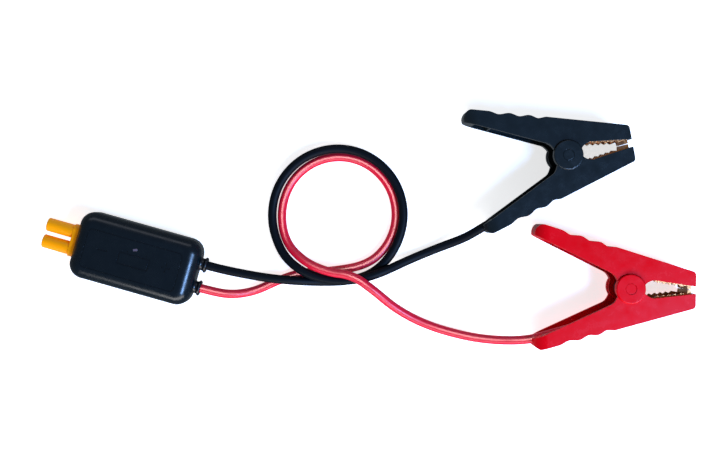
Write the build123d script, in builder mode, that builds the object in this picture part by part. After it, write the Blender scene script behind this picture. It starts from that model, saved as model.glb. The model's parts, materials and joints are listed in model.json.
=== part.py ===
"""Clamp lead of a pocket jump starter: bullet plug, control box, two looped cables, two spring clamps.

Everything lies on the ground plane, +X along the lead from the plug to the clamps, +Z up, in mm.
"""
import math
import os
from build123d import *

# ---- driving dimensions ----
CASE_AT = (-141.6, -17.7)
CASE_TURN = -15.8
CASE_LENGTH = 77.4
CASE_WIDTH = 42.0
CASE_HEIGHT = 22.0
CASE_CORNER = 9.0
CASE_EDGE_TOP = 8.0
CASE_INNER_SLOPE = 3.5
CASE_EDGE_BOTTOM = 4.0
CASE_WALL = 2.2
PARTING = 11.0
PARTING_GROOVE = 0.5

CABLE_DIAMETER = 5.5
CORE_DIAMETER = 3.4
CABLE_PITCH = 14.7
CABLE_ON_FLOOR = 2.85
CABLE_CLEAR = 0.06

PLUG_PITCH = 10.6
BARREL_DIAMETER = 8.4
BARREL_BORE = 6.0
BARREL_LENGTH = 17.0
PLUG_BODY_WIDTH = 20.4
PLUG_BODY_HEIGHT = 9.0
PLUG_STANDS_OUT = 3.2

BLACK_PIVOT = (123.2, 45.5)
BLACK_TURN = 10.7
RED_PIVOT = (161.0, -35.9)
RED_TURN = -1.15
CLAMP_THICKNESS = 27.0
CHEEK_LOW = 1.5
CHEEK = 2.2
WEB = 3.0
TIP_X = 39.7
TIP_OUTER_Y = 11.5
REAR_X = -57.8
REAR_ROUNDING = 9.0
REAR_WALL = 5.5
BACK_SLOPE = -0.295
HINGE_DISC_RADIUS = 9.0
HINGE_GAP = 0.3
PIN_RADIUS = 2.5
SPRING_WIRE = 2.0
SPRING_RADIUS = 5.2
TOOTH_PITCH = 3.5
TOOTH_DEPTH = 1.2
JAW_SHEET = 1.2
JAW_WEB_RISE = 1.5

MID = CLAMP_THICKNESS / 2
CHEEK_HIGH = CLAMP_THICKNESS - CHEEK_LOW
POCKET_LOW = CHEEK_LOW + CHEEK
POCKET_HIGH = CHEEK_HIGH - CHEEK
EAR_LOW = POCKET_LOW + HINGE_GAP
EAR = 2.2


def turned_frame(place, turn):
    """A level frame at a place on the ground, turned about +Z by so many degrees."""
    angle = math.radians(turn)
    return Plane(origin=(*place, 0), x_dir=(math.cos(angle), math.sin(angle), 0), z_dir=(0, 0, 1))


CASE = turned_frame(CASE_AT, CASE_TURN)
BLACK = turned_frame(BLACK_PIVOT, BLACK_TURN)
RED = turned_frame(RED_PIVOT, RED_TURN)


def save(piece, name):
    piece.part.label = name
    export_step(piece.part, f"parts/{name}.step")


# ---- control box ----
def case_outline(inset=0.0):
    """The rounded plan of the box, drawn smaller by the inset."""
    RectangleRounded(CASE_LENGTH - 2 * inset, CASE_WIDTH - 2 * inset, CASE_CORNER - inset)


POST_X = 31.0
POST_Y = 14.0
POST_PLACES = [(POST_X, POST_Y), (-POST_X, POST_Y), (POST_X, -POST_Y), (-POST_X, -POST_Y)]
POST_RADIUS = 3.0
SCREW_RADIUS = 1.1
SCREW_HEAD_RADIUS = 2.3
SCREW_HEAD_DEPTH = 2.4
GROMMET_NECK_RADIUS = 3.8
GROMMET_COLLAR_RADIUS = 4.9
GROMMET_FLANGE_RADIUS = 5.0
PANEL_CENTRE = (-1.3, -1.2)
PANEL_SIZE = (60.0, 24.5)
MARK_DEPTH = 0.4
WINDOW_PLACE = (-0.4, 5.4)
WINDOW_SIZE = (2.8, 1.5)
WINDOW_LEAN = 20
CABLE_EXIT_Z = PARTING


def cut_end_openings():
    """Room in both ends for the plug's body and for the two cable grommets."""
    plug_x = -CASE_LENGTH / 2
    with Locations((plug_x, 0, CABLE_EXIT_Z)):
        Box(3 * CASE_WALL, PLUG_BODY_WIDTH + 0.1, PLUG_BODY_HEIGHT + 0.1, mode=Mode.SUBTRACT)
    for side in (1, -1):
        with Locations((CASE_LENGTH / 2, side * CABLE_PITCH / 2, CABLE_EXIT_Z)):
            Cylinder(GROMMET_NECK_RADIUS + 0.05, 3 * CASE_WALL, rotation=(0, 90, 0), mode=Mode.SUBTRACT)


def case_top():
    with BuildPart(CASE) as top:
        with BuildSketch(CASE.offset(PARTING)):
            case_outline()
        extrude(amount=CASE_HEIGHT - PARTING)
        fillet(top.faces().sort_by(Axis.Z)[-1].edges(), CASE_EDGE_TOP)
        straight = CASE_HEIGHT - PARTING - CASE_WALL - CASE_INNER_SLOPE
        with BuildSketch(CASE.offset(PARTING)):
            case_outline(CASE_WALL)
        extrude(amount=straight, mode=Mode.SUBTRACT)
        with BuildSketch(CASE.offset(PARTING + straight)):
            case_outline(CASE_WALL)
        extrude(amount=CASE_INNER_SLOPE, taper=45, mode=Mode.SUBTRACT)
        with BuildSketch(CASE.offset(PARTING)):
            case_outline()
            RectangleRounded(CASE_LENGTH - 2 * PARTING_GROOVE, CASE_WIDTH - 2 * PARTING_GROOVE,
                             CASE_CORNER - PARTING_GROOVE, mode=Mode.SUBTRACT)
        extrude(amount=PARTING_GROOVE, mode=Mode.SUBTRACT)
        for x, y in POST_PLACES:
            with Locations((x, y, (PARTING + CASE_HEIGHT - CASE_WALL) / 2)):
                Cylinder(POST_RADIUS, CASE_HEIGHT - CASE_WALL - PARTING)
        for x, y in POST_PLACES:
            with Locations((x, y, PARTING + 3)):
                Cylinder(SCREW_RADIUS + CABLE_CLEAR, 6, mode=Mode.SUBTRACT)
        cut_end_openings()
        mark_plane = CASE.offset(CASE_HEIGHT - MARK_DEPTH)
        with BuildSketch(mark_plane):
            with Locations(PANEL_CENTRE):
                RectangleRounded(*PANEL_SIZE, 3)
                RectangleRounded(PANEL_SIZE[0] - 1.0, PANEL_SIZE[1] - 1.0, 2.5, mode=Mode.SUBTRACT)
        extrude(amount=MARK_DEPTH, mode=Mode.SUBTRACT)
        with BuildSketch(mark_plane):
            draw_battery_sign()
        extrude(amount=MARK_DEPTH, mode=Mode.SUBTRACT)
        with Locations((*WINDOW_PLACE, CASE_HEIGHT - CASE_WALL / 2)):
            Box(*WINDOW_SIZE, CASE_WALL * 2, rotation=(0, 0, WINDOW_LEAN), mode=Mode.SUBTRACT)
    save(top, "case_top")


def draw_battery_sign():
    """A plain sunk battery sign along the middle of the lid: minus, cell outline, plus."""
    with Locations((-20, 0)):
        Rectangle(6.0, 1.2)
    with Locations((0, -1.5)):
        RectangleRounded(20, 8, 1.2)
        RectangleRounded(18, 6, 0.6, mode=Mode.SUBTRACT)
    with Locations((-6, 3.1), (6, 3.1)):
        Rectangle(3.0, 1.2)
    with Locations((20, 0)):
        Rectangle(6.0, 1.2)
        Rectangle(1.2, 6.0)


def case_bottom():
    with BuildPart(CASE) as bottom:
        with BuildSketch(CASE):
            case_outline()
        extrude(amount=PARTING)
        fillet(bottom.faces().sort_by(Axis.Z)[0].edges(), CASE_EDGE_BOTTOM)
        with BuildSketch(CASE.offset(CASE_WALL)):
            case_outline(CASE_WALL)
        extrude(amount=PARTING, mode=Mode.SUBTRACT)
        for x, y in POST_PLACES:
            with Locations((x, y, PARTING / 2)):
                Cylinder(POST_RADIUS, PARTING)
        for x, y in POST_PLACES:
            with Locations((x, y, PARTING / 2)):
                Cylinder(SCREW_RADIUS + 0.3, PARTING, mode=Mode.SUBTRACT)
            with Locations((x, y, SCREW_HEAD_DEPTH / 2)):
                Cylinder(SCREW_HEAD_RADIUS + 0.15, SCREW_HEAD_DEPTH, mode=Mode.SUBTRACT)
        for x in (-18, 16):
            for y in (-12, 12):
                with Locations((x, y, CASE_WALL + 1.5)):
                    Cylinder(2.2, 3.0)
        cut_end_openings()
    save(bottom, "case_bottom")


def case_screws():
    """Four countersunk-floor screws that hold the shells together from below."""
    with BuildPart(CASE) as screws:
        for x, y in POST_PLACES:
            with Locations((x, y, SCREW_HEAD_DEPTH - 0.8)):
                Cylinder(SCREW_HEAD_RADIUS, 1.6)
            with Locations((x, y, SCREW_HEAD_DEPTH + 6.5)):
                Cylinder(SCREW_RADIUS, 13.0)
            with Locations((x, y, 1.1)):
                Box(3.0, 0.7, 0.8, mode=Mode.SUBTRACT)
                Box(0.7, 3.0, 0.8, mode=Mode.SUBTRACT)
    save(screws, "case_screws")


BOARD_LOW = CASE_WALL + 3.0
BOARD_THICK = 1.6
BOARD_TOP = BOARD_LOW + BOARD_THICK
BOARD_SIZE = (52.0, 34.0)
BOARD_X = -1.0


def circuit_board():
    with BuildPart(CASE) as board:
        with Locations((BOARD_X, 0, BOARD_LOW + BOARD_THICK / 2)):
            Box(*BOARD_SIZE, BOARD_THICK)
    save(board, "circuit_board")


def block_on_board(name, place, size, edge):
    """A square-cornered component with eased top edges, standing on the board."""
    with BuildPart(CASE) as block:
        with Locations((*place, BOARD_TOP + size[2] / 2)):
            Box(*size)
        fillet(block.edges().filter_by(Axis.Z), edge)
        fillet(block.faces().sort_by(Axis.Z)[-1].edges(), edge / 2)
    save(block, name)


def capacitor():
    with BuildPart(CASE) as can:
        with Locations((-14, -11.5, BOARD_TOP + 4.0)):
            Cylinder(4.0, 12.0, rotation=(0, 90, 0))
        fillet(can.edges(), 0.5)
    save(can, "capacitor")


def status_led():
    with BuildPart(CASE) as led:
        with Locations((*WINDOW_PLACE, BOARD_TOP + 0.5)):
            Box(3.2, 2.8, 1.0)
        with Locations((*WINDOW_PLACE, BOARD_TOP + 1.4)):
            Cylinder(1.1, 0.8)
    save(led, "status_led")


def led_window():
    """A clear peg pressed into the slot in the lid, carrying the lamp's light up to the face."""
    peg = CASE_HEIGHT - BOARD_TOP - 2.4
    with BuildPart(CASE) as window:
        with Locations((*WINDOW_PLACE, CASE_HEIGHT - peg / 2)):
            Box(WINDOW_SIZE[0] - 0.08, WINDOW_SIZE[1] - 0.08, peg, rotation=(0, 0, WINDOW_LEAN))
    save(window, "led_window")


BAR_THICK = 1.2


def bus_bar(name, side):
    """A copper strip from a plug contact to the board."""
    start = -CASE_LENGTH / 2 + CASE_WALL + 6.3
    with BuildPart(CASE) as bar:
        with BuildSketch(Plane(CASE.from_local_coords((0, side * PLUG_PITCH / 2, 0)), CASE.x_dir,
                               -CASE.y_dir)) as profile:
            with BuildLine():
                Polyline((start, 11.6), (start + 3, 11.6), (start + 6, BOARD_TOP + BAR_THICK + 0.05),
                         (start + 11, BOARD_TOP + BAR_THICK + 0.05), (start + 11, BOARD_TOP + 0.05),
                         (start + 5.4, BOARD_TOP + 0.05), (start + 2.4, 10.4), (start, 10.4), close=True)
            make_face()
        extrude(amount=2.5, both=True)
    save(bar, name)


def grommet(name, side):
    """A rubber bush in the end wall: a flange inside, a waisted neck and a rounded outer collar."""
    wall_out = CASE_LENGTH / 2
    wall_in = wall_out - CASE_WALL
    bore = CABLE_DIAMETER / 2 + CABLE_CLEAR
    axis_origin = CASE.from_local_coords((0, side * CABLE_PITCH / 2, CABLE_EXIT_Z))
    with BuildPart() as bush:
        with BuildSketch(Plane(axis_origin, CASE.x_dir, -CASE.y_dir)):
            with BuildLine():
                Polyline((wall_in - 1.6, bore), (wall_in - 1.6, GROMMET_FLANGE_RADIUS),
                         (wall_in - 0.05, GROMMET_FLANGE_RADIUS),
                         (wall_in - 0.05, GROMMET_NECK_RADIUS), (wall_out + 0.05, GROMMET_NECK_RADIUS),
                         (wall_out + 0.05, GROMMET_COLLAR_RADIUS - 0.2))
                ThreePointArc((wall_out + 0.05, GROMMET_COLLAR_RADIUS - 0.2),
                              (wall_out + 1.5, GROMMET_NECK_RADIUS),
                              (wall_out + 3.2, GROMMET_COLLAR_RADIUS))
                Polyline((wall_out + 3.2, GROMMET_COLLAR_RADIUS), (wall_out + 4.0, GROMMET_COLLAR_RADIUS - 0.1),
                         (wall_out + 4.5, GROMMET_COLLAR_RADIUS - 0.7), (wall_out + 4.5, bore),
                         (wall_in - 1.6, bore))
            make_face()
        revolve(axis=Axis(axis_origin, CASE.x_dir))
    save(bush, name)


# ---- plug ----
def plug_housing():
    end = -CASE_LENGTH / 2
    with BuildPart(CASE) as housing:
        with Locations((end + (CASE_WALL + 2.0 - PLUG_STANDS_OUT) / 2, 0, CABLE_EXIT_Z)):
            Box(CASE_WALL + 2.0 + PLUG_STANDS_OUT, PLUG_BODY_WIDTH, PLUG_BODY_HEIGHT)
        fillet(housing.edges().filter_by(Axis(CASE.origin, CASE.x_dir)), 3.4)
        with Locations((end + CASE_WALL + 2.8, 0, CABLE_EXIT_Z)):
            Box(2.4, PLUG_BODY_WIDTH + 1.4, PLUG_BODY_HEIGHT + 3.0)
        for side in (1, -1):
            with Locations((end - PLUG_STANDS_OUT - BARREL_LENGTH / 2 + 0.5, side * PLUG_PITCH / 2,
                            CABLE_EXIT_Z)):
                Cylinder(BARREL_DIAMETER / 2, BARREL_LENGTH + 1.0, rotation=(0, 90, 0))
        far_faces = housing.faces().filter_by(Axis(CASE.origin, CASE.x_dir))
        barrel_ends = far_faces.sort_by(Axis(CASE.origin, CASE.x_dir))[:2]
        fillet(barrel_ends.edges(), 0.7)
        for side in (1, -1):
            with Locations((end - PLUG_STANDS_OUT - BARREL_LENGTH / 2 + 5, side * PLUG_PITCH / 2,
                            CABLE_EXIT_Z)):
                Cylinder(BARREL_BORE / 2, BARREL_LENGTH + 20, rotation=(0, 90, 0), mode=Mode.SUBTRACT)
    save(housing, "plug_housing")


def plug_contact(name, side):
    """A gilt bullet contact: a split socket in front, a solid shank and a solder cup behind."""
    end = -CASE_LENGTH / 2
    front = end - PLUG_STANDS_OUT - BARREL_LENGTH + 2.0
    back = end + CASE_WALL + 8.0
    with BuildPart(CASE) as contact:
        with Locations(((front + back) / 2, side * PLUG_PITCH / 2, CABLE_EXIT_Z)):
            Cylinder(BARREL_BORE / 2 - 0.05, back - front, rotation=(0, 90, 0))
        with Locations((front + 5.5, side * PLUG_PITCH / 2, CABLE_EXIT_Z)):
            Cylinder(2.5, 11.0, rotation=(0, 90, 0), mode=Mode.SUBTRACT)
        with Locations((front + 5.0, side * PLUG_PITCH / 2, CABLE_EXIT_Z)):
            Box(10.0, 0.6, BARREL_BORE + 1, mode=Mode.SUBTRACT)
        with Locations((back - 2.0, side * PLUG_PITCH / 2, CABLE_EXIT_Z)):
            Box(5.0, 5.1, 1.3, mode=Mode.SUBTRACT)
    save(contact, name)


# ---- clamps: the moulded halves ----
def back_line(x):
    """Height of the straight back edge of a half above the clamp's middle line."""
    return TIP_OUTER_Y + BACK_SLOPE * (x - 38.0)


def jaw_line(x):
    """Height of the plastic jaw's inner edge above the middle line."""
    return 5.5 - 0.132 * (x - 15.0)


GRIP_PEAKS = (-8.5, -19.0, -30.5, -43.0)
GRIP_DEPTH = 1.4
REAR_INNER_Y = {1: 31.5, -1: 32.4}
HANDLE_ROOT_Y = {1: 9.4, -1: 10.0}


def half_outline(side):
    """One half seen along the hinge axis: jaw, back with three finger hollows, and handle."""
    tip_outer = (TIP_X, back_line(TIP_X))
    peaks = [(x, back_line(x)) for x in GRIP_PEAKS]
    hollows = [((a + b) / 2, back_line((a + b) / 2) - GRIP_DEPTH) for a, b in zip(GRIP_PEAKS, GRIP_PEAKS[1:])]
    root = (-11.5, HANDLE_ROOT_Y[side])
    rear = (REAR_X, REAR_INNER_Y[side])
    flip = lambda p: (p[0], side * p[1])
    with BuildSketch(mode=Mode.PRIVATE) as shape:
        with BuildLine():
            Polyline(flip(peaks[0]), flip(tip_outer), flip((TIP_X, jaw_line(TIP_X))),
                     flip((15.0, jaw_line(15.0))))
            Spline(flip((15.0, jaw_line(15.0))), flip((11.6, 4.7)), flip((8.6, 2.0)),
                   tangents=[flip((-1, 0.13)), flip((-0.5, -1))])
            Polyline(flip((8.6, 2.0)), (0, 0), flip((-7.6, 4.8)))
            Spline(flip((-7.6, 4.8)), flip(root), tangents=[flip((-0.4, 1)), flip((-1, 0.48))])
            Polyline(flip(root), flip(rear))
            Spline(flip(rear), flip((REAR_X + 1.0, 36.1)), flip((-52.6, back_line(-52.6))),
                   tangents=[flip((-0.15, 1)), flip((1, BACK_SLOPE))])
            Polyline(flip((-52.6, back_line(-52.6))), flip(peaks[-1]))
            for start, low, end in zip(peaks[::-1], hollows[::-1], peaks[::-1][1:]):
                Spline(flip(start), flip(low), flip(end),
                       tangents=[flip((1, BACK_SLOPE)), flip((1, BACK_SLOPE))])
        make_face()
        corner = shape.vertices().sort_by_distance(flip(tip_outer))[0]
        fillet(corner, 2.6)
    return shape.sketch


def pocket_outline(side):
    """The channel between the cheeks, open towards the other half."""
    inner = lambda x: back_line(x) - WEB * 1.04
    corners = [(TIP_X - 1.9, inner(TIP_X - 1.9)), (TIP_X - 1.9, -12), (REAR_X + REAR_WALL, -12),
               (REAR_X + REAR_WALL, inner(REAR_X + REAR_WALL))]
    with BuildSketch(mode=Mode.PRIVATE) as shape:
        with BuildLine():
            Polyline(*[(x, side * y) for x, y in corners], close=True)
        make_face()
    return shape.sketch


HANDLE_REACH = 50.0
POST_AT = (20.0, 31.0)
JAW_POST_RADIUS = 2.4


def half_shell(frame, side):
    """Cheeks, back web, end walls and the two posts that the jaw plate is screwed to."""
    with BuildSketch(frame.offset(CHEEK_LOW)) as plan:
        add(half_outline(side))
    extrude(plan.sketch, amount=CHEEK_HIGH - CHEEK_LOW)
    with BuildSketch(Plane(frame.origin, frame.x_dir, -frame.y_dir)) as side_view:
        with Locations(((REAR_X + TIP_X) / 2, MID)):
            Rectangle(TIP_X - REAR_X + 1, CHEEK_HIGH - CHEEK_LOW)
        rear_corners = side_view.vertices().sort_by(Axis(frame.origin, frame.x_dir))[:2]
        fillet(rear_corners, REAR_ROUNDING)
    extrude(side_view.sketch, amount=HANDLE_REACH, both=True, mode=Mode.INTERSECT)
    with BuildSketch(frame.offset(POCKET_LOW)) as channel:
        add(pocket_outline(side))
    extrude(channel.sketch, amount=POCKET_HIGH - POCKET_LOW, mode=Mode.SUBTRACT)
    for x in POST_AT:
        low = jaw_line(x - JAW_POST_RADIUS) + JAW_SHEET + JAW_WEB_RISE + 0.05
        high = back_line(x) - 1.0
        with Locations((x, side * (low + high) / 2, MID)):
            Cylinder(JAW_POST_RADIUS, high - low, rotation=(90, 0, 0))
            Cylinder(1.0, high - low, rotation=(90, 0, 0), mode=Mode.SUBTRACT)


CAP_RADIUS = 3.4
CAP_DEPTH = 1.4


def lower_handle(name, frame):
    """The fixed half: it carries the outer hinge discs and takes the cable in at its rear end."""
    with BuildPart(frame) as half:
        half_shell(frame, -1)
        for low in (0.0, CHEEK_HIGH - CHEEK):
            with Locations((0, 0, low + (CHEEK + CHEEK_LOW) / 2)):
                Cylinder(HINGE_DISC_RADIUS, CHEEK + CHEEK_LOW)
        ends = half.faces().filter_by(Axis.Z).sort_by(Axis.Z)
        fillet(ends[0].edges(), 0.7)
        fillet(ends[-1].edges(), 0.7)
        with Locations((0, 0, MID)):
            Cylinder(PIN_RADIUS + 0.02, CLAMP_THICKNESS, mode=Mode.SUBTRACT)
        for z in (CAP_DEPTH / 2, CLAMP_THICKNESS - CAP_DEPTH / 2):
            with Locations((0, 0, z)):
                Cylinder(CAP_RADIUS + 0.05, CAP_DEPTH, mode=Mode.SUBTRACT)
        with Locations((-56.0, -33.3, 13.1)):
            Cylinder(CABLE_DIAMETER / 2 + 1.2, 14, rotation=(0, 90, 19), mode=Mode.SUBTRACT)
    save(half, name)


def upper_handle(name, frame):
    """The moving half: its cheeks are cut back round the discs and its ears turn inside them."""
    with BuildPart(frame) as half:
        half_shell(frame, 1)
        for low in (POCKET_LOW, POCKET_HIGH - EAR - HINGE_GAP):
            with BuildSketch(frame.offset(low)):
                add(half_outline(1))
                Circle(HINGE_DISC_RADIUS - 0.4)
                Circle(14.4, mode=Mode.INTERSECT)
            extrude(amount=EAR + HINGE_GAP)
        for z in (EAR_LOW / 2, CLAMP_THICKNESS - EAR_LOW / 2):
            with Locations((0, 0, z)):
                Cylinder(HINGE_DISC_RADIUS + HINGE_GAP, EAR_LOW, mode=Mode.SUBTRACT)
        with Locations((0, 0, MID)):
            Cylinder(PIN_RADIUS + 0.1, CLAMP_THICKNESS, mode=Mode.SUBTRACT)
        with Locations((-42.6, 29.2, MID)):
            Box(1.6, 9.0, POCKET_HIGH - POCKET_LOW)
    save(half, name)


def pivot_pin(name, frame):
    with BuildPart(frame) as pin:
        with Locations((0, 0, MID)):
            Cylinder(PIN_RADIUS, CLAMP_THICKNESS - 2 * CAP_DEPTH - 0.1)
    save(pin, name)


def pivot_caps(name, frame):
    """Two moulded caps pressed over the pin's ends, a little below the discs' faces."""
    with BuildPart(frame) as caps:
        for z in (CAP_DEPTH / 2 + 0.1, CLAMP_THICKNESS - CAP_DEPTH / 2 - 0.1):
            with Locations((0, 0, z)):
                Cylinder(CAP_RADIUS, CAP_DEPTH - 0.2)
        fillet(caps.faces().sort_by(Axis.Z)[-1].edges(), 0.4)
        fillet(caps.faces().sort_by(Axis.Z)[0].edges(), 0.4)
    save(caps, name)


# ---- clamps: jaws, spring and cable end ----
JAW_REAR_X = 13.8
JAW_FRONT_X = TIP_X - 2.1
JAW_LOW = POCKET_LOW + 0.4
JAW_HIGH = POCKET_HIGH - 0.4
LIP = 2.2
TEETH = 5


def jaw_edge(side):
    """The toothed edge of a jaw's flange, from the rear to the front lip, with the plate's back."""
    start = 15.5
    points = [(JAW_REAR_X, jaw_line(JAW_REAR_X) + JAW_SHEET + JAW_WEB_RISE), (JAW_REAR_X, jaw_line(JAW_REAR_X) - 0.2)]
    for i in range(TEETH):
        x = start + i * TOOTH_PITCH
        points.append((x, jaw_line(x) - 0.2))
        points.append((x + TOOTH_PITCH / 2, jaw_line(x + TOOTH_PITCH / 2) - 0.2 - TOOTH_DEPTH))
    lip_x = JAW_FRONT_X - LIP
    points.append((lip_x - 0.4, jaw_line(lip_x) - 0.2))
    points.append((lip_x, 0.2))
    points.append((JAW_FRONT_X, 0.2))
    points.append((JAW_FRONT_X, jaw_line(JAW_FRONT_X) + JAW_SHEET + JAW_WEB_RISE))
    return [(x, side * y) for x, y in points]


def jaw_plate(name, frame, side):
    """A plated steel channel: web against the posts, two toothed flanges and a front lip."""
    with BuildPart(frame) as jaw:
        with BuildSketch(frame.offset(JAW_LOW)):
            with BuildLine():
                Polyline(*jaw_edge(side), close=True)
            make_face()
        extrude(amount=JAW_HIGH - JAW_LOW)
        gap = [(JAW_REAR_X - 1, jaw_line(JAW_REAR_X - 1) + JAW_WEB_RISE), (JAW_REAR_X - 1, -2),
               (JAW_FRONT_X - LIP, -2), (JAW_FRONT_X - LIP, jaw_line(JAW_FRONT_X - LIP) + JAW_WEB_RISE)]
        with BuildSketch(frame.offset(JAW_LOW + JAW_SHEET)):
            with BuildLine():
                Polyline(*[(x, side * y) for x, y in gap], close=True)
            make_face()
        extrude(amount=JAW_HIGH - JAW_LOW - 2 * JAW_SHEET, mode=Mode.SUBTRACT)
        for x in POST_AT:
            with Locations((x, side * (jaw_line(x) + 2), MID)):
                Cylinder(1.15, 5, rotation=(90, 0, 0), mode=Mode.SUBTRACT)
    save(jaw, name)


def jaw_screws(name, frame, side):
    with BuildPart(frame) as screws:
        for x in POST_AT:
            head = jaw_line(x) + 0.6
            with Locations((x, side * head, MID)):
                Cylinder(2.1, 1.1, rotation=(90, 0, 0))
            with Locations((x, side * (head + 3.5), MID)):
                Cylinder(0.95, 6.2, rotation=(90, 0, 0))
    save(screws, name)


SPRING_LOW = 8.4
SPRING_PITCH = 2.3
SPRING_TURNS = 4
LEG_END = (-26.0, 25.4)


def spring_route():
    """Corners of the wire's path: lower leg, coil round the pin, upper leg, in the clamp's own frame."""
    reach = math.hypot(*LEG_END)
    leg_angle = math.degrees(math.atan2(LEG_END[1], LEG_END[0]) + math.asin(SPRING_RADIUS / reach))
    tangent_at = leg_angle - 90
    wound = 360 * SPRING_TURNS + 2 * tangent_at
    steps = round(wound / 30)
    corner_radius = SPRING_RADIUS * 1.03
    height = SPRING_PITCH * wound / 360
    corners = [(LEG_END[0], -LEG_END[1], SPRING_LOW)]
    for i in range(steps + 1):
        angle = math.radians(wound * i / steps - tangent_at)
        corners.append((corner_radius * math.cos(angle), corner_radius * math.sin(angle),
                        SPRING_LOW + height * i / steps))
    corners.append((*LEG_END, SPRING_LOW + height))
    return corners


def torsion_spring(name, frame):
    """A wire wound round the pin whose two straight legs push the handles apart."""
    route = [in_frame(frame, *corner) for corner in spring_route()]
    tube(name, route, SPRING_WIRE, bend_radii(route))


CABLE_STOP = (-18.0, -20.8)
CABLE_LAST = (-31.0, -25.1)
BARREL_LONG = 8.0


def cable_line():
    """Unit direction of the cable's last run inside the handle."""
    run = (CABLE_STOP[0] - CABLE_LAST[0], CABLE_STOP[1] - CABLE_LAST[1])
    size = math.hypot(*run)
    return (run[0] / size, run[1] / size)


def cable_core(name, frame):
    """The stripped copper strands between the sheath and the lug."""
    dx, dy = cable_line()
    start = frame.from_local_coords((*CABLE_STOP, MID))
    ahead = frame.from_local_coords((CABLE_STOP[0] + dx, CABLE_STOP[1] + dy, MID))
    with BuildPart() as core:
        with BuildSketch(Plane(start, z_dir=ahead - start)):
            Circle(CORE_DIAMETER / 2)
        extrude(amount=BARREL_LONG - 1.5)
    save(core, name)


def cable_lug(name, frame):
    """A crimped barrel with a strap that runs up to the back of the fixed jaw plate."""
    dx, dy = cable_line()
    barrel_at = (CABLE_STOP[0] + 1.0 * dx, CABLE_STOP[1] + 1.0 * dy)
    neck = (CABLE_STOP[0] + BARREL_LONG * dx, CABLE_STOP[1] + BARREL_LONG * dy)
    start = frame.from_local_coords((*barrel_at, MID))
    ahead = frame.from_local_coords((*neck, MID))
    strap = 1.6
    plate = lambda x: -(jaw_line(x) + JAW_SHEET + JAW_WEB_RISE) - 0.05
    with BuildPart(frame) as lug:
        with BuildSketch(Plane(start, z_dir=ahead - start)):
            Circle(CORE_DIAMETER / 2 + 1.1)
            Circle(CORE_DIAMETER / 2 + 0.02, mode=Mode.SUBTRACT)
        extrude(amount=BARREL_LONG - 1.0)
        with BuildSketch(frame.offset(MID - 3.5)):
            with BuildLine():
                Polyline((neck[0] - 0.8, neck[1] + 0.4), (4.0, -12.8), (12.4, plate(12.4)), (16.8, plate(16.8)),
                         (16.8, plate(16.8) - strap), (13.0, plate(13.0) - strap),
                         (4.4, -12.8 - strap), (neck[0] - 0.8, neck[1] - strap + 0.4), close=True)
            make_face()
        extrude(amount=7.0)
    save(lug, name)


# ---- cables ----
def in_frame(frame, x, y, z):
    point = frame.from_local_coords((x, y, z))
    return (point.X, point.Y, point.Z)


def ring_points(centre, radius, heights):
    """Points of a cable's loop, anticlockwise, from the height of its middle at each angle."""
    x, y = centre
    return [(x + radius * math.cos(math.radians(angle)), y + radius * math.sin(math.radians(angle)), height)
            for angle, height in heights.items()]


FLOOR = CABLE_ON_FLOOR
BLACK_ROUTE = [
    in_frame(CASE, 34.0, CABLE_PITCH / 2, CABLE_EXIT_Z),
    in_frame(CASE, 48.0, CABLE_PITCH / 2, CABLE_EXIT_Z),
    (-79.5, -26.8, 10.6),
    (-61.0, -30.2, 9.8),
    (-44.0, -32.0, 8.2),
    (-28.0, -33.0, 2.95),
    (-9.5, -32.6, FLOOR),
    (7.6, -26.6, 3.7),
    *ring_points((-17.0, 9.4), 42.5, {-27: 6.8, 3: 7.3, 33: 6.9, 63: 6.7, 93: 6.5, 123: 5.9, 153: 4.7, 183: 3.6}),
    (-53.3, -13.3, 5.6),
    (-42.2, -24.8, 9.2),
    (-26.0, -31.4, 9.2),
    (-8.5, -32.1, 9.6),
    (8.4, -27.8, 10.2),
    (25.6, -20.0, 3.6),
    (45.0, -12.0, 2.95),
    (61.8, -5.6, 7.0),
    in_frame(BLACK, -60.0, -34.9, 12.7),
    in_frame(BLACK, -46.0, -29.8, 13.4),
    in_frame(BLACK, *CABLE_LAST, MID),
    in_frame(BLACK, *CABLE_STOP, MID),
]
RED_ROUTE = [
    in_frame(CASE, 34.0, -CABLE_PITCH / 2, CABLE_EXIT_Z),
    in_frame(CASE, 48.0, -CABLE_PITCH / 2, CABLE_EXIT_Z),
    (-83.5, -40.8, 8.4),
    (-69.0, -38.9, 3.4),
    (-54.5, -32.0, FLOOR),
    (-39.0, -26.8, FLOOR),
    (-20.0, -26.3, FLOOR),
    *ring_points((-16.2, 9.8), 36.9, {angle: FLOOR for angle in (-60, -32, -4, 26, 56, 86, 116, 146, 176)}),
    (-50.4, -7.2, 3.8),
    (-38.5, -19.8, 9.8),
    (-23.2, -26.4, 12.2),
    (-8.4, -27.8, 15.4),
    (4.4, -36.6, 15.5),
    (18.6, -49.2, 7.4),
    (36.4, -59.2, FLOOR),
    (57.0, -65.8, 2.95),
    (78.0, -69.3, 6.0),
    in_frame(RED, -60.0, -34.0, 12.8),
    in_frame(RED, -46.0, -29.6, 13.4),
    in_frame(RED, *CABLE_LAST, MID),
    in_frame(RED, *CABLE_STOP, MID),
]


def bend_radii(route):
    """The largest arc that the runs beside each corner leave room for."""
    corners = [Vector(*p) for p in route]
    radii = []
    for a, b, c in zip(corners, corners[1:], corners[2:]):
        turn = (b - a).get_angle(c - b)
        shorter = min((b - a).length, (c - b).length)
        radii.append(0.45 * shorter / math.tan(math.radians(turn) / 2))
    return radii


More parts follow.
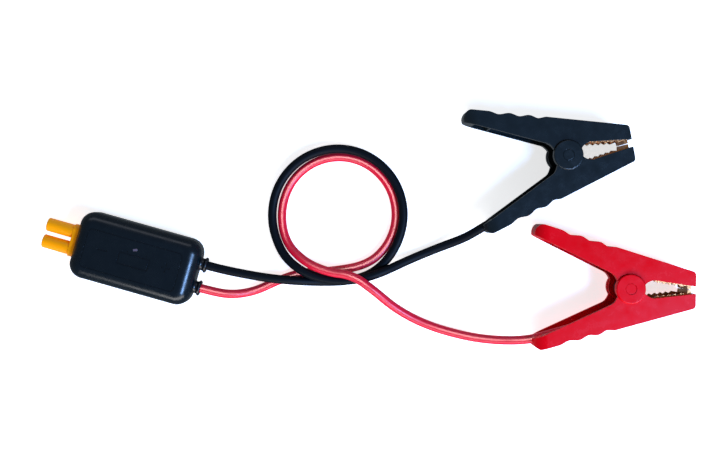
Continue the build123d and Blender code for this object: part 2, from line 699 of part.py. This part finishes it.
def tube(name, route, diameter, radii):
    """A round section swept along straight runs joined by tangent arcs."""
    with BuildPart() as swept:
        with BuildLine() as path:
            FilletPolyline(*route, radius=radii)
        with BuildSketch(Plane(path.line @ 0, z_dir=path.line % 0)):
            Circle(diameter / 2)
        sweep()
    length = path.wires()[0].length
    expected = math.pi * (diameter / 2) ** 2 * length
    print(name, "length", round(length, 1), "volume ratio", round(swept.part.volume / expected, 4))
    save(swept, name)


def cable(name, route):
    radii = bend_radii(route)
    print(name, "bend radii", [round(r, 1) for r in radii])
    tube(name, route, CABLE_DIAMETER, radii)


PAD_HEIGHT = BOARD_TOP + CORE_DIAMETER / 2 + 0.1
CORE_STEPS = ((34.0, CABLE_EXIT_Z), (30.0, CABLE_EXIT_Z), (25.5, PAD_HEIGHT), (21.5, PAD_HEIGHT))


def board_core(name, side):
    """The stripped end of a cable inside the box, reaching down to its pad on the board."""
    route = [in_frame(CASE, x, side * CABLE_PITCH / 2, z) for x, z in CORE_STEPS]
    tube(name, route, CORE_DIAMETER, [3.5, 3.5])


# ---- build ----
os.makedirs("parts", exist_ok=True)

case_top()
case_bottom()
case_screws()
circuit_board()
block_on_board("relay", (11.2, 6.5), (19.0, 15.5, 10.5), 1.0)
block_on_board("controller_chip", (2.0, -10.5), (9.0, 9.0, 1.6), 0.4)
capacitor()
status_led()
led_window()
for polarity, side in (("positive", -1), ("negative", 1)):
    bus_bar(f"{polarity}_bus_bar", side)
    plug_contact(f"{polarity}_contact", side)
plug_housing()

for colour, side in (("black", 1), ("red", -1)):
    grommet(f"{colour}_grommet", side)
    board_core(f"{colour}_board_core", side)

for colour, frame in (("black", BLACK), ("red", RED)):
    lower_handle(f"{colour}_lower_handle", frame)
    upper_handle(f"{colour}_upper_handle", frame)
    pivot_pin(f"{colour}_pivot_pin", frame)
    pivot_caps(f"{colour}_pivot_caps", frame)
    torsion_spring(f"{colour}_torsion_spring", frame)
    cable_core(f"{colour}_cable_core", frame)
    cable_lug(f"{colour}_cable_lug", frame)
    for level, side in (("lower", -1), ("upper", 1)):
        jaw_plate(f"{colour}_{level}_jaw", frame, side)
        jaw_screws(f"{colour}_{level}_jaw_screws", frame, side)

cable("black_cable", BLACK_ROUTE)
cable("red_cable", RED_ROUTE)
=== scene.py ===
import bmesh
import bpy
import json
import math
from mathutils import Matrix, Vector


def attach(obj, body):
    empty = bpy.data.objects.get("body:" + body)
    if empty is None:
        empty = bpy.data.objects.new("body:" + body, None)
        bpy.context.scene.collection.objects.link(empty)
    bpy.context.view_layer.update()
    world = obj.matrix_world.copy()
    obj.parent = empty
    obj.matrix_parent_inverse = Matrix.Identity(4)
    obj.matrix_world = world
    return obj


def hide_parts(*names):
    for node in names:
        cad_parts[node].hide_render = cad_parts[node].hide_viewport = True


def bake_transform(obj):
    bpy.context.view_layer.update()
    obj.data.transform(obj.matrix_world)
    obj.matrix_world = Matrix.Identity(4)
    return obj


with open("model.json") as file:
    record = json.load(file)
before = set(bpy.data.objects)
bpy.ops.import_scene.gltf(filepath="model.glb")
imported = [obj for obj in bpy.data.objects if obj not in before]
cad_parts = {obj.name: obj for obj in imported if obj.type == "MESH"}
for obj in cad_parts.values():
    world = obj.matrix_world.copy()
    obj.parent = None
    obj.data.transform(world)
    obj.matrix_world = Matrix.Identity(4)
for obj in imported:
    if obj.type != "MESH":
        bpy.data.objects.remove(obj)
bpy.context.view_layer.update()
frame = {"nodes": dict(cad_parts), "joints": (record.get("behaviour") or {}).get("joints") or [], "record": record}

MM = 0.001
nodes = frame["nodes"]
scene = bpy.context.scene

# ---- Camera ----
# A copy stand: the camera looks straight down on the lead from 640 mm above the ground.
CAMERA_HEIGHT = 640 * MM
CAMERA_OVER = (-11.2 * MM, 7.8 * MM)
camera_data = bpy.data.cameras.new("stand_camera")
camera_data.lens = 51.7
camera_data.sensor_width = 36.0
camera_data.shift_x = 0.0078
camera_data.shift_y = -0.0248
camera_data.clip_start = 0.01
camera = bpy.data.objects.new("stand_camera", camera_data)
camera.location = (*CAMERA_OVER, CAMERA_HEIGHT)
scene.collection.objects.link(camera)
scene.camera = camera

# ---- Cables ----
# Two 10 AWG leads: fine tinned copper strands in a soft silicone sheath, extruded smooth.
# Each leaves the box through its rubber bush, makes one loop on the ground and runs into its clamp's
# fixed handle. Silicone gives a soft, slightly milky shine and picks up a little dust.
CABLE_DIAMETER = 5.5 * MM
LYING = 2.85
CABLE_EXIT_Z = 11.0
HINGE_MID = 13.5
CASE_TURN = math.radians(-15.8)
CLAMP_TURN = {"black": math.radians(10.7), "red": math.radians(-1.15)}
case_at = Vector(frame["record"]["mounts"][0]["pos_m"])
hinge_at = {joint["child"].split("_")[0]: Vector(joint["pos_m"]) for joint in frame["joints"]}


def turned(origin, turn):
    """Places points given in a piece's own millimetres into the shared frame, in metres."""
    ground = Vector((origin.x, origin.y, 0))
    return Matrix.Translation(ground) @ Matrix.Rotation(turn, 4, "Z") @ Matrix.Scale(MM, 4)


CASE = turned(case_at, CASE_TURN)
CLAMP = {colour: turned(hinge_at[colour], CLAMP_TURN[colour]) for colour in ("black", "red")}


def loop_points(centre, radius, heights):
    """Points of a cable's loop, anticlockwise, from the height of its middle at each angle."""
    x, y = centre
    return [(x + radius * math.cos(math.radians(angle)), y + radius * math.sin(math.radians(angle)), height)
            for angle, height in heights.items()]


def spot(matrix, *point):
    """A route's point given in a piece's own millimetres, in the shared frame's millimetres."""
    return tuple(matrix @ Vector(point) / MM)


BLACK_ROUTE = [
    spot(CASE, 34.0, 7.35, CABLE_EXIT_Z),
    spot(CASE, 48.0, 7.35, CABLE_EXIT_Z),
    (-79.5, -26.8, 10.6),
    (-61.0, -30.2, 9.8),
    (-44.0, -32.0, 8.2),
    (-28.0, -33.0, 2.95),
    (-9.5, -32.6, LYING),
    (7.6, -26.6, 3.7),
    *loop_points((-17.0, 9.4), 42.5, {-27: 6.8, 3: 7.3, 33: 6.9, 63: 6.7, 93: 6.5, 123: 5.9, 153: 4.7,
                                      183: 3.6}),
    (-53.3, -13.3, 5.6),
    (-42.2, -24.8, 9.2),
    (-26.0, -31.4, 9.2),
    (-8.5, -32.1, 9.6),
    (8.4, -27.8, 10.2),
    (25.6, -20.0, 3.6),
    (45.0, -12.0, 2.95),
    (61.8, -5.6, 7.0),
    spot(CLAMP["black"], -60.0, -34.9, 12.7),
    spot(CLAMP["black"], -46.0, -29.8, 13.4),
    spot(CLAMP["black"], -31.0, -25.1, HINGE_MID),
    spot(CLAMP["black"], -18.0, -20.8, HINGE_MID),
]
RED_ROUTE = [
    spot(CASE, 34.0, -7.35, CABLE_EXIT_Z),
    spot(CASE, 48.0, -7.35, CABLE_EXIT_Z),
    (-83.5, -40.8, 8.4),
    (-69.0, -38.9, 3.4),
    (-54.5, -32.0, LYING),
    (-39.0, -26.8, LYING),
    (-20.0, -26.3, LYING),
    *loop_points((-16.2, 9.8), 36.9, {angle: LYING for angle in (-60, -32, -4, 26, 56, 86, 116, 146, 176)}),
    (-50.4, -7.2, 3.8),
    (-38.5, -19.8, 9.8),
    (-23.2, -26.4, 12.2),
    (-8.4, -27.8, 15.4),
    (4.4, -36.6, 15.5),
    (18.6, -49.2, 7.4),
    (36.4, -59.2, LYING),
    (57.0, -65.8, 2.95),
    (78.0, -69.3, 6.0),
    spot(CLAMP["red"], -60.0, -34.0, 12.8),
    spot(CLAMP["red"], -46.0, -29.6, 13.4),
    spot(CLAMP["red"], -31.0, -25.1, HINGE_MID),
    spot(CLAMP["red"], -18.0, -20.8, HINGE_MID),
]


# The colour sockets of a Mix node, whose names are shared with its number sockets.
MIX_A = 6
MIX_B = 7
MIX_RESULT = 2


def linear(hex_colour):
    """An sRGB hex colour as the linear values that shaders take."""
    parts = [int(hex_colour[i:i + 2], 16) / 255 for i in (1, 3, 5)]
    return (*[c / 12.92 if c <= 0.04045 else ((c + 0.055) / 1.055) ** 2.4 for c in parts], 1.0)


def new_node(tree, kind, inputs, **settings):
    """Adds a node, sets its options, and sets or links each input."""
    made = tree.nodes.new(kind)
    for name, value in settings.items():
        setattr(made, name, value)
    for key, value in inputs.items():
        if isinstance(value, bpy.types.NodeSocket):
            tree.links.new(value, made.inputs[key])
        else:
            made.inputs[key].default_value = value
    return made


def new_material(name, shader_values):
    """A material with its main shader's fixed values set, and its tree, shader and coordinates."""
    material = bpy.data.materials.new(name)
    material.use_nodes = True
    tree = material.node_tree
    shader = tree.nodes["Principled BSDF"]
    for key, value in shader_values.items():
        shader.inputs[key].default_value = value
    place = new_node(tree, "ShaderNodeTexCoord", {}).outputs["Object"]
    return material, tree, shader, place


def blended(tree, pattern, deep, plain):
    """A colour that goes from one hex colour to the other with a noise pattern."""
    return new_node(tree, "ShaderNodeMix", {"Factor": pattern.outputs["Fac"], MIX_A: linear(deep),
                                            MIX_B: linear(plain)}, data_type="RGBA")


def silicone(name, deep, plain, dust, roughness, sheen_of_light):
    """Extruded silicone: even colour with faint milky clouds, fine dust and very slight waves."""
    material, tree, shader, place = new_material(name, {
        "IOR": 1.41, "Specular IOR Level": sheen_of_light})
    clouds = new_node(tree, "ShaderNodeTexNoise", {"Vector": place, "Scale": 1 / 0.018, "Detail": 3.0})
    tint = blended(tree, clouds, deep, plain)
    specks = new_node(tree, "ShaderNodeTexNoise", {"Vector": place, "Scale": 1 / 0.0006, "Detail": 2.0})
    few = new_node(tree, "ShaderNodeMapRange", {"Value": specks.outputs["Fac"], "From Min": 0.66,
                                                "From Max": 0.80, "To Max": 0.35})
    dusted = new_node(tree, "ShaderNodeMix", {"Factor": few.outputs["Result"],
                                              MIX_A: tint.outputs[MIX_RESULT],
                                              MIX_B: linear(dust)}, data_type="RGBA")
    tree.links.new(dusted.outputs[MIX_RESULT], shader.inputs["Base Color"])
    worn = new_node(tree, "ShaderNodeMapRange", {"Value": clouds.outputs["Fac"], "To Min": roughness - 0.05,
                                                 "To Max": roughness + 0.07})
    tree.links.new(worn.outputs["Result"], shader.inputs["Roughness"])
    waves = new_node(tree, "ShaderNodeTexNoise", {"Vector": place, "Scale": 1 / 0.0025, "Detail": 1.0})
    bump = new_node(tree, "ShaderNodeBump", {"Height": waves.outputs["Fac"], "Strength": 0.25,
                                             "Distance": 0.00006})
    tree.links.new(bump.outputs["Normal"], shader.inputs["Normal"])
    return material


black_silicone = silicone("black_silicone", "#04080D", "#070C13", "#1A222C", 0.48, 0.12)
red_silicone = silicone("red_silicone", "#C80026", "#D8042E", "#E05A6C", 0.30, 0.5)


def cable(name, route, material):
    """A round cable along a smooth open line with the route's points as its control points."""
    curve = bpy.data.curves.new(name, "CURVE")
    curve.dimensions = "3D"
    curve.resolution_u = 14
    curve.bevel_depth = CABLE_DIAMETER / 2
    curve.bevel_resolution = 7
    spline = curve.splines.new("NURBS")
    spline.points.add(len(route) - 1)
    for point, place in zip(spline.points, route):
        point.co = (*[value * MM for value in place], 1.0)
    spline.order_u = 3
    spline.use_endpoint_u = True
    curve.materials.append(material)
    piece = bpy.data.objects.new(name, curve)
    scene.collection.objects.link(piece)
    return piece


black_lead = cable("black_lead", BLACK_ROUTE, black_silicone)
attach(black_lead, "root")
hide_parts("black_cable")

red_lead = cable("red_lead", RED_ROUTE, red_silicone)
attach(red_lead, "root")
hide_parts("red_cable")

# ---- Control box ----
# Two moulded ABS half shells, closed by four screws from below, with a shallow groove where they meet.
# The mould is lightly spark-eroded, so the faces are satin and the rounded edges catch the light.
CASE_HEIGHT = 22.0


def remade(node, name, body, material, edge_mm=0.0, sharp_deg=34):
    """A smooth-shaded piece from a CAD node: joined faces, softened edges and even normals.

    It rides on the body, or on none when the body is None, as for the coils.
    """
    mesh = bpy.data.meshes.new(name)
    shape = bmesh.new()
    shape.from_mesh(nodes[node].data)
    bmesh.ops.remove_doubles(shape, verts=shape.verts, dist=1e-6)
    bmesh.ops.dissolve_limit(shape, angle_limit=math.radians(0.4), verts=shape.verts, edges=shape.edges)
    shape.to_mesh(mesh)
    shape.free()
    piece = bpy.data.objects.new(name, mesh)
    scene.collection.objects.link(piece)
    if edge_mm:
        bevel = piece.modifiers.new("soft_edges", "BEVEL")
        bevel.width = edge_mm * MM
        bevel.segments = 3
        bevel.limit_method = "ANGLE"
        bevel.angle_limit = math.radians(sharp_deg + 4)
        bevel.use_clamp_overlap = True
        bevel.miter_outer = "MITER_ARC"
        finished = bpy.data.meshes.new_from_object(piece.evaluated_get(bpy.context.evaluated_depsgraph_get()))
        piece.modifiers.clear()
        piece.data = finished
        finished.name = name
    piece.data.materials.clear()
    piece.data.materials.append(material)
    piece.data.shade_smooth()
    piece.data.set_sharp_from_angle(angle=math.radians(sharp_deg))
    normals = piece.modifiers.new("even_normals", "WEIGHTED_NORMAL")
    normals.keep_sharp = True
    normals.weight = 80
    if body:
        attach(piece, body)
    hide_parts(node)
    return piece


def moulded(name, deep, plain, roughness, specular, grain_mm, grain_depth_mm):
    """Injection-moulded plastic: faint flow clouds, an eroded grain, and rubbed spots that shine more."""
    material, tree, shader, place = new_material(name, {
        "IOR": 1.5, "Specular IOR Level": specular})
    flow = new_node(tree, "ShaderNodeTexNoise", {"Vector": place, "Scale": 1 / 0.025, "Detail": 4.0,
                                                 "Distortion": 0.6})
    tint = blended(tree, flow, deep, plain)
    tree.links.new(tint.outputs[MIX_RESULT], shader.inputs["Base Color"])
    rubbed = new_node(tree, "ShaderNodeTexNoise", {"Vector": place, "Scale": 1 / 0.006, "Detail": 6.0,
                                                   "Roughness": 0.65})
    gloss = new_node(tree, "ShaderNodeMapRange", {"Value": rubbed.outputs["Fac"], "From Min": 0.3,
                                                  "From Max": 0.7, "To Min": roughness - 0.06,
                                                  "To Max": roughness + 0.08})
    tree.links.new(gloss.outputs["Result"], shader.inputs["Roughness"])
    grain = new_node(tree, "ShaderNodeTexVoronoi", {"Vector": place, "Scale": 1 / (grain_mm * MM)})
    bump = new_node(tree, "ShaderNodeBump", {"Height": grain.outputs["Distance"], "Strength": 0.5,
                                             "Distance": grain_depth_mm * MM})
    tree.links.new(bump.outputs["Normal"], shader.inputs["Normal"])
    return material


case_abs = moulded("spark_eroded_abs", "#020C12", "#041018", 0.25, 0.34, 0.45, 0.008)
case_top = remade("case_top", "box_lid", "root", case_abs, 0.2)
case_bottom = remade("case_bottom", "box_tray", "root", case_abs, 0.12)

# ---- Lid ticks ----
# Two rows of short moulded ribs beside the sunk panel line, at the plug's end of the lid.
TICK_ROWS = (10.4, -12.8)
TICK_START = -28.2


def rib_rows():
    """A point on the lid where each row's first rib stands, joined by nothing."""
    mesh = bpy.data.meshes.new("tick_rows")
    feet = [CASE @ Vector((TICK_START, y, CASE_HEIGHT)) for y in TICK_ROWS]
    mesh.from_pydata(feet, [], [])
    piece = bpy.data.objects.new("lid_ticks", mesh)
    scene.collection.objects.link(piece)
    return piece


lid_ticks = rib_rows()
tick_tree = bpy.data.node_groups.new("rows_of_ticks", "GeometryNodeTree")
tick_tree.interface.new_socket("Geometry", in_out="INPUT", socket_type="NodeSocketGeometry")
tick_values = {"Count": 6, "Pitch": 1.45 * MM, "Length": 1.6 * MM, "Width": 0.35 * MM, "Height": 0.24 * MM,
               "Turn": CASE_TURN, "Lean": math.radians(18)}
tick_sockets = {}
for label, value in tick_values.items():
    kind = "NodeSocketInt" if label == "Count" else "NodeSocketFloat"
    tick_sockets[label] = tick_tree.interface.new_socket(label, in_out="INPUT", socket_type=kind)
tick_tree.interface.new_socket("Geometry", in_out="OUTPUT", socket_type="NodeSocketGeometry")
given = new_node(tick_tree, "NodeGroupInput", {})
row_run = new_node(tick_tree, "ShaderNodeCombineXYZ", {"X": given.outputs["Pitch"]})
turn_only = new_node(tick_tree, "ShaderNodeCombineXYZ", {"Z": given.outputs["Turn"]})
row_step = new_node(tick_tree, "ShaderNodeVectorRotate", {"Vector": row_run.outputs[0],
                                                          "Rotation": turn_only.outputs[0]},
                    rotation_type="EULER_XYZ")
row_line = new_node(tick_tree, "GeometryNodeMeshLine", {"Count": given.outputs["Count"],
                                                        "Offset": row_step.outputs[0]})
row_sets = new_node(tick_tree, "GeometryNodeInstanceOnPoints", {"Points": given.outputs["Geometry"],
                                                                "Instance": row_line.outputs[0]})
row_spots = new_node(tick_tree, "GeometryNodeRealizeInstances", {"Geometry": row_sets.outputs[0]})
tick_size = new_node(tick_tree, "ShaderNodeCombineXYZ", {"X": given.outputs["Width"],
                                                         "Y": given.outputs["Length"],
                                                         "Z": given.outputs["Height"]})
tick_body = new_node(tick_tree, "GeometryNodeMeshCube", {"Size": tick_size.outputs[0]})
tick_angle = new_node(tick_tree, "ShaderNodeMath", {0: given.outputs["Turn"], 1: given.outputs["Lean"]},
                      operation="ADD")
tick_turn = new_node(tick_tree, "ShaderNodeCombineXYZ", {"Z": tick_angle.outputs[0]})
tick_set = new_node(tick_tree, "GeometryNodeInstanceOnPoints", {"Points": row_spots.outputs[0],
                                                                "Instance": tick_body.outputs[0],
                                                                "Rotation": tick_turn.outputs[0]})
tick_solid = new_node(tick_tree, "GeometryNodeRealizeInstances", {"Geometry": tick_set.outputs[0]})
tick_paint = new_node(tick_tree, "GeometryNodeSetMaterial", {"Geometry": tick_solid.outputs[0],
                                                             "Material": case_abs})
new_node(tick_tree, "NodeGroupOutput", {"Geometry": tick_paint.outputs[0]})
tick_modifier = lid_ticks.modifiers.new("ticks", "NODES")
tick_modifier.node_group = tick_tree
for label, value in tick_values.items():
    tick_modifier[tick_sockets[label].identifier] = value
lid_ticks.data = bpy.data.meshes.new_from_object(
    lid_ticks.evaluated_get(bpy.context.evaluated_depsgraph_get()))
lid_ticks.modifiers.clear()
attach(lid_ticks, "root")

# ---- Status window ----
# A frosted acrylic light guide pressed into the lid above the lamp; unlit it looks pale mauve.
guide_acrylic, tree, shader, place = new_material("frosted_acrylic", {
    "IOR": 1.49, "Roughness": 0.35, "Transmission Weight": 0.15})
frost = new_node(tree, "ShaderNodeTexNoise", {"Vector": place, "Scale": 1 / 0.0005, "Detail": 3.0})
frost_tint = blended(tree, frost, "#4A4250", "#6E5E6C")
tree.links.new(frost_tint.outputs[MIX_RESULT], shader.inputs["Base Color"])
remade("led_window", "status_window", "root", guide_acrylic, 0.1)

# ---- Cable bushes ----
# Moulded rubber grommets held in the end wall by an inner flange and a rounded outer collar.
bush_rubber = moulded("bush_rubber", "#04080D", "#080E15", 0.30, 0.5, 0.7, 0.01)
for colour in ("black", "red"):
    remade(f"{colour}_grommet", f"{colour}_bush", "root", bush_rubber, 0.15)

# ---- Plug ----
# A glass-filled nylon housing with two barrels; inside each sits a turned and gilt brass contact.
plug_nylon = moulded("orange_nylon", "#FF9000", "#FFA000", 0.36, 0.16, 0.6, 0.01)
remade("plug_housing", "bullet_plug", "root", plug_nylon, 0.25)


def metal(name, colour, bright, roughness, grain_scale):
    """Bare or plated metal with drawn or turned streaks and uneven tarnish."""
    material, tree, shader, place = new_material(name, {"Metallic": 1.0})
    streaks = new_node(tree, "ShaderNodeMapping", {"Vector": place, "Scale": grain_scale})
    lines = new_node(tree, "ShaderNodeTexNoise", {"Vector": streaks.outputs[0], "Scale": 1 / 0.0012,
                                                  "Detail": 5.0})
    stains = new_node(tree, "ShaderNodeTexNoise", {"Vector": place, "Scale": 1 / 0.005, "Detail": 4.0})
    tint = blended(tree, stains, colour, bright)
    tree.links.new(tint.outputs[MIX_RESULT], shader.inputs["Base Color"])
    polish = new_node(tree, "ShaderNodeMapRange", {"Value": lines.outputs["Fac"], "From Min": 0.3,
                                                   "From Max": 0.7, "To Min": roughness - 0.08,
                                                   "To Max": roughness + 0.1})
    tree.links.new(polish.outputs["Result"], shader.inputs["Roughness"])
    bump = new_node(tree, "ShaderNodeBump", {"Height": lines.outputs["Fac"], "Strength": 0.3,
                                             "Distance": 0.00003})
    tree.links.new(bump.outputs["Normal"], shader.inputs["Normal"])
    return material


gilt = metal("gilt_brass", "#D9A441", "#F3CC74", 0.24, (1, 1, 1))
for pole in ("positive", "negative"):
    remade(f"{pole}_contact", f"{pole}_bullet_contact", "root", gilt, 0.08)

# ---- Clamps: moulded halves ----
# Each clamp is two deep U-section mouldings in polypropylene, turning on a pin inside round hinge discs.
# The backs have three finger hollows; all outer edges are softly rounded and catch a narrow highlight.
HANDLE_EDGE_MM = 0.6
CAP_EDGE_MM = 0.5
clamp_plastic = {
    "black": moulded("black_polypropylene", "#0A1317", "#0D181E", 0.24, 0.34, 0.8, 0.005),
    "red": moulded("red_polypropylene", "#CC0008", "#D80014", 0.24, 0.14, 0.8, 0.005),
}
for colour, plastic in clamp_plastic.items():
    for level, body in (("lower", "root"), ("upper", f"{colour}_upper")):
        remade(f"{colour}_{level}_handle", f"{colour}_{level}_moulding", body,
               plastic, HANDLE_EDGE_MM)
    remade(f"{colour}_pivot_caps", f"{colour}_pin_covers", "root",
           plastic, CAP_EDGE_MM)

# ---- Clamps: jaws ----
# Pressed steel channels with sawtooth edges, copper plated; the plating darkens between the teeth.
JAW_EDGE_MM = 0.15
jaw_copper = metal("copper_plate", "#B4622E", "#F2B077", 0.28, (1, 1, 0.15))
screw_zinc = metal("zinc_plate", "#8E9196", "#C4C7CC", 0.35, (1, 1, 1))
for colour in ("black", "red"):
    for level, body in (("lower", "root"), ("upper", f"{colour}_upper")):
        remade(f"{colour}_{level}_jaw", f"{colour}_{level}_teeth", body,
               jaw_copper, JAW_EDGE_MM)
        remade(f"{colour}_{level}_jaw_screws", f"{colour}_{level}_teeth_screws", body,
               screw_zinc, JAW_EDGE_MM)

# ---- Clamps: pins, springs and cable ends ----
# A turned pin joins each clamp's halves, and a wire spring coiled round it keeps the jaws shut. The
# cable's bare strands are crimped into a tinned lug on the fixed jaw.
pin_steel = metal("turned_steel", "#85888C", "#B9BCC0", 0.3, (1, 1, 8))
spring_steel = metal("spring_wire", "#3A3C40", "#5C5F64", 0.34, (1, 1, 1))
tinned = metal("tinned_copper", "#B9B4A8", "#DCD8CE", 0.36, (1, 1, 1))
bare_copper = metal("bare_copper", "#B5622F", "#E39A66", 0.3, (1, 1, 1))
for colour in ("black", "red"):
    remade(f"{colour}_pivot_pin", f"{colour}_hinge_pin", "root", pin_steel, 0.2)
    remade(f"{colour}_cable_lug", f"{colour}_crimp_lug", "root", tinned, 0.15)
    remade(f"{colour}_cable_core", f"{colour}_clamp_strands", "root", bare_copper)
    remade(f"{colour}_board_core", f"{colour}_board_strands", "root", bare_copper)
    coil = remade(f"{colour}_torsion_spring", f"{colour}_coil_spring", None, spring_steel)
    coil.modifiers.clear()
    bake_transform(coil)

# ---- Inside the box ----
# A switch board between two copper strips: relay, control chip, capacitor and the lamp under the window,
# in a box closed by four screws from below.
board_green = moulded("solder_resist", "#04361B", "#0A4A26", 0.30, 0.5, 0.5, 0.01)
relay_black = moulded("relay_cover", "#0B0B0D", "#141416", 0.40, 0.4, 0.5, 0.01)
chip_black = moulded("chip_epoxy", "#0C0C0C", "#151515", 0.55, 0.4, 0.3, 0.01)
can_sleeve = metal("capacitor_can", "#A9ACB1", "#D3D6DA", 0.3, (1, 1, 1))
lamp_body = moulded("lamp_body", "#D8D6C8", "#EDEBDD", 0.35, 0.5, 0.5, 0.01)
inside = {"circuit_board": ("main_board", "board_laminate", board_green),
          "relay": ("power_relay", "relay_plastic", relay_black),
          "controller_chip": ("control_chip", "chip_epoxy", chip_black),
          "capacitor": ("buffer_capacitor", "capacitor_can", can_sleeve),
          "status_led": ("status_lamp", "led_body", lamp_body),
          "positive_bus_bar": ("positive_strip", "bare_copper", bare_copper),
          "negative_bus_bar": ("negative_strip", "bare_copper", bare_copper),
          "case_screws": ("box_screws", "screw_steel", screw_zinc)}
for node, (name, slot, material) in inside.items():
    remade(node, name, "root", material, 0.1)

# ---- Studio ----
# A backlit matt white table that doesn't show in reflections. A broad light in front, one high on the
# right, a faint one behind, and an overhead light for each cable's shine, which only that cable sees.
table_acrylic, tree, shader, place = new_material("backlit_acrylic", {
    "Roughness": 0.8, "Specular IOR Level": 0.1, "Emission Color": linear("#FFFFFF"),
    "Emission Strength": 0.7})
tooth = new_node(tree, "ShaderNodeTexNoise", {"Vector": place, "Scale": 1 / 0.05, "Detail": 3.0})
chalk = blended(tree, tooth, "#F2F2F2", "#F7F7F7")
tree.links.new(chalk.outputs[MIX_RESULT], shader.inputs["Base Color"])
bpy.ops.mesh.primitive_plane_add(size=4.0, location=(0, 0, -0.0002))
table = bpy.context.object
table.name = "table_top"
table.data.materials.append(table_acrylic)
table.visible_glossy = False

world = bpy.data.worlds.new("room")
world.use_nodes = True
world.node_tree.nodes["Background"].inputs["Color"].default_value = linear("#DCE8F5")
world.node_tree.nodes["Background"].inputs["Strength"].default_value = 0.24
scene.world = world
scene.view_settings.view_transform = "Standard"


def softbox(name, place, aim, size, watts, tint="#FFFFFF"):
    """A rectangular area light at a place, aimed at another, in metres and watts."""
    data = bpy.data.lights.new(name, "AREA")
    data.shape = "RECTANGLE"
    data.size, data.size_y = size
    data.energy = watts
    data.color = linear(tint)[:3]
    light = bpy.data.objects.new(name, data)
    light.location = place
    light.rotation_euler = (Vector(aim) - Vector(place)).to_track_quat("-Z", "Y").to_euler()
    scene.collection.objects.link(light)
    return light


SHINE_HEIGHT = 0.72
SHINE_SIZE = 0.46
softbox("front", (0.15, -1.1, 0.55), (0, 0, 0), (1.8, 0.5), 19.0)
softbox("high_right", (0.6, -0.4, 0.9), (-0.05, 0, 0), (0.34, 0.34), 20.0, "#90BEFF")
softbox("behind", (-0.2, 1.2, 0.8), (0, 0, 0), (1.6, 0.4), 3.5, "#EEF3FF")
for lead, watts, tint in ((red_lead, 13.0, "#FFF4F0"), (black_lead, 0.35, "#B8D4F0")):
    strip = softbox(f"{lead.name}_strip", (*CAMERA_OVER, SHINE_HEIGHT), (*CAMERA_OVER, 0),
                    (SHINE_SIZE, SHINE_SIZE), watts, tint)
    strip.visible_diffuse = False
    seen = bpy.data.collections.new(f"{lead.name}_only")
    seen.objects.link(lead)
    strip.light_linking.receiver_collection = seen
